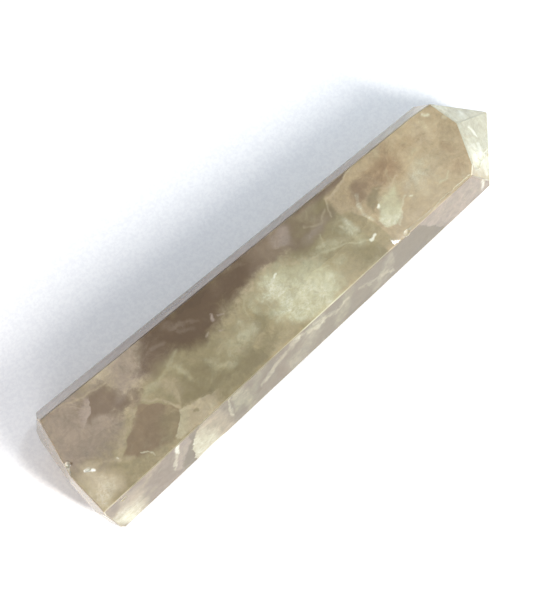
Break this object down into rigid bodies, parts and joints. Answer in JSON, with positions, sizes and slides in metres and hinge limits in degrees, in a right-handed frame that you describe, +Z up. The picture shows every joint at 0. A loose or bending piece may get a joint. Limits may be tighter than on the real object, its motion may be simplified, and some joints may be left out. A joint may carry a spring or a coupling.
{
  "type": "smoky quartz tower",
  "caption": "Tapered six-sided polished point of cloudy smoky quartz with a flat base and an off-centre faceted tip, lying on its lowest facet.",
  "frame": {"origin": "on the surface that the stone lies on, under the middle of its bounding box", "axes": "+X along the stone from its flat base to its tip, +Z up, the widest facet facing up"},
  "size_m": [0.0898, 0.0228, 0.0177],
  "materials": {
    "smoky_quartz": "polished, cloudy and translucent, smoky brown with pale veils"
  },
  "bodies": {
    "root": {"quartz_point": "smoky_quartz"}
  },
  "joints": []
}
